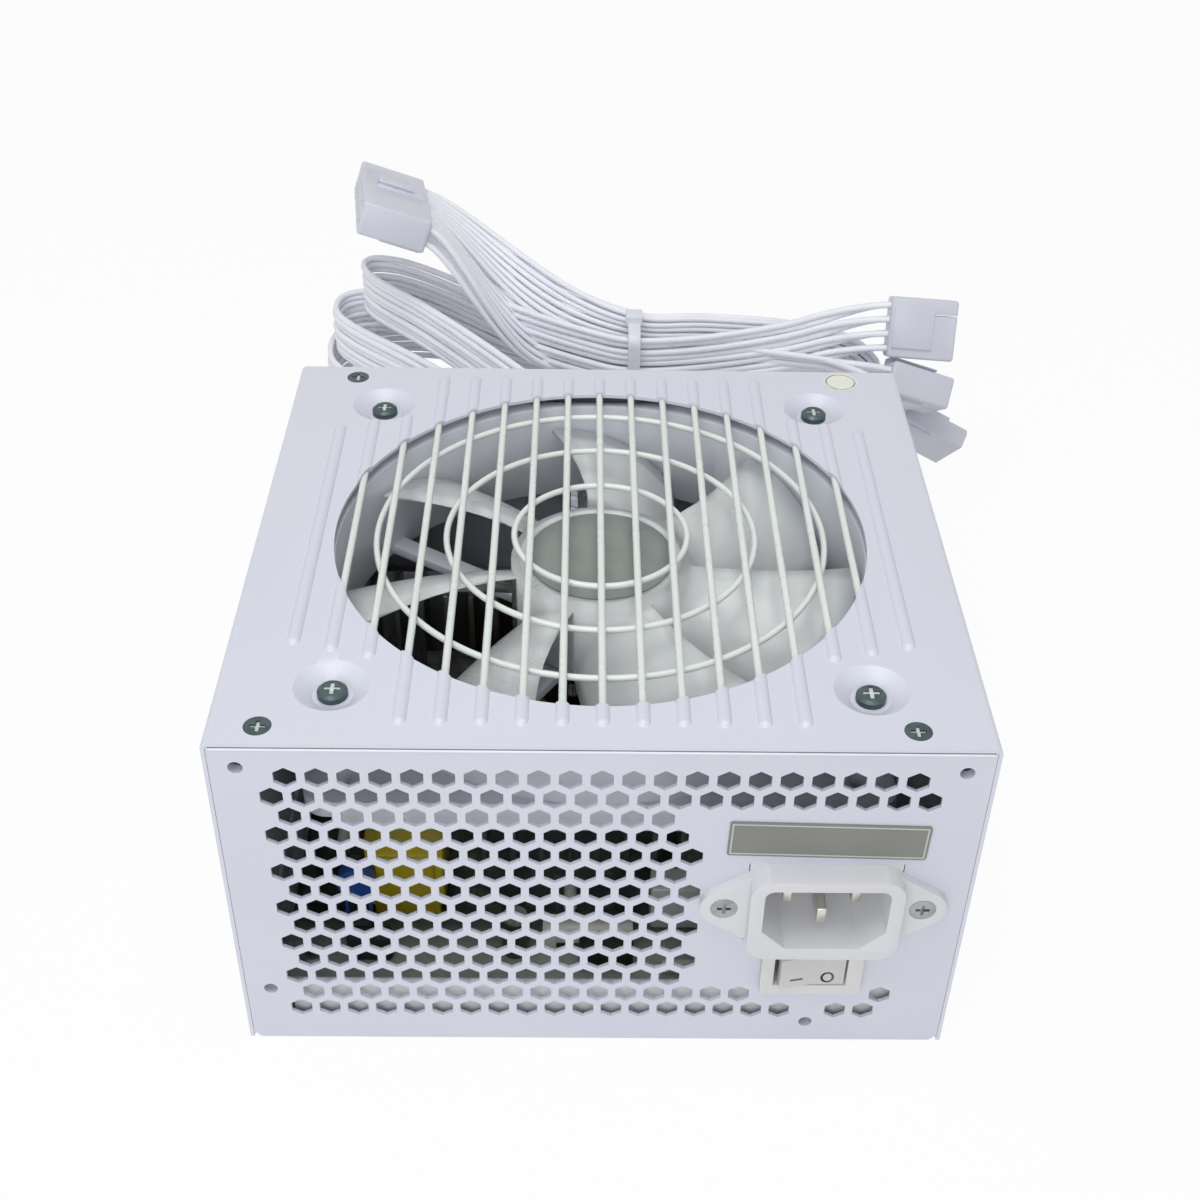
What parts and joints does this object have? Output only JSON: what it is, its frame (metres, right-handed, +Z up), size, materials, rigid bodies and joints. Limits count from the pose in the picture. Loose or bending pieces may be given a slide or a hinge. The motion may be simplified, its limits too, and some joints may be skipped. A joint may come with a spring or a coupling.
{
  "type": "computer power supply unit",
  "caption": "Boxed desktop power supply with a top intake fan under a wire grille, mains inlet, rocker switch, honeycomb vent and a tied harness of flat ribbon cables.",
  "frame": {"origin": "centre of the case's footprint, on its underside", "axes": "+Z up through the fan, -Y out of the inlet panel, +Y out of the cable panel, +X to the inlet socket's side"},
  "size_m": [0.2007, 0.261, 0.1018],
  "materials": {
    "case_paint": "satin",
    "cover_paint": "satin",
    "grille_plate": "polished",
    "black_zinc": "dark zinc",
    "zinc": "bright zinc",
    "seal_paper": "matt",
    "plate_grey": "matt",
    "socket_plastic": "moulded",
    "contact_metal": "tin plated",
    "bezel_plastic": "moulded",
    "rocker_plastic": "moulded",
    "fan_plastic": "moulded",
    "blade_plastic": "translucent white",
    "hub_label": "silvery",
    "shaft_steel": "ground",
    "bronze": "sintered",
    "magnet": "matt",
    "winding": "varnished",
    "board": "solder mask",
    "standoff_brass": "plain",
    "insulation": "matt film",
    "heatsink_alu": "extruded",
    "ferrite": "matt",
    "tape_yellow": "taped",
    "cap_sleeve": "shrunk sleeve",
    "cap_green": "shrunk sleeve",
    "toroid_yellow": "painted",
    "copper": "enamelled",
    "film_yellow": "moulded",
    "disc_blue": "dipped",
    "package_black": "moulded",
    "fuse_glass": "glazed",
    "grommet_black": "moulded",
    "lead_brown": "insulated",
    "cable_white": "soft sleeve",
    "connector_white": "moulded",
    "tie_white": "moulded"
  },
  "bodies": {
    "case": {"base_tray": "case_paint", "cover": "cover_paint", "fan_grille": "grille_plate", "fan_screws": "black_zinc", "cover_screws": "zinc", "seal_sticker": "seal_paper", "rating_plate": "plate_grey", "inlet_socket": "socket_plastic", "inlet_pins": "contact_metal", "inlet_screws": "zinc", "switch_bezel": "bezel_plastic", "switch_terminals": "contact_metal", "fan_frame": "fan_plastic", "fan_bearing": "bronze", "fan_stator": "winding", "main_pcb": "board", "pcb_standoffs": "standoff_brass", "pcb_screws": "zinc", "insulation_sheet": "insulation", "heatsink_primary": "heatsink_alu", "heatsink_secondary": "heatsink_alu", "transformer_core": "ferrite", "transformer_coil": "tape_yellow", "standby_transformer": "tape_yellow", "bulk_capacitors": "cap_sleeve", "output_capacitors": "cap_green", "toroid_choke": "toroid_yellow", "emi_choke": "copper", "x_capacitor": "film_yellow", "y_capacitor": "disc_blue", "power_transistors": "package_black", "output_rectifiers": "package_black", "line_fuse": "fuse_glass", "cable_grommet": "grommet_black", "inlet_leads": "lead_brown", "pcie_cable": "cable_white", "cpu_cable": "cable_white", "drive_cable": "cable_white", "atx_cable": "cable_white", "pcie_connector": "connector_white", "cpu_connector": "connector_white", "drive_connector": "connector_white", "atx_connector": "connector_white", "cable_tie": "tie_white"},
    "fan_rotor": {"fan_impeller": "blade_plastic", "fan_sticker": "hub_label", "fan_shaft": "shaft_steel", "fan_magnet": "magnet"},
    "rocker": {"switch_rocker": "rocker_plastic"}
  },
  "joints": [
    {"name": "fan_spin", "type": "hinge", "parent": "case", "child": "fan_rotor", "pos_m": [0, -0.0005, 0.07], "axis": [0, 0, 1], "continuous": true},
    {"name": "switch_rock", "type": "hinge", "parent": "case", "child": "rocker", "pos_m": [0.04435, -0.069, 0.0249], "axis": [0, 0, 1], "range_deg": [-12, 0]}
  ]
}
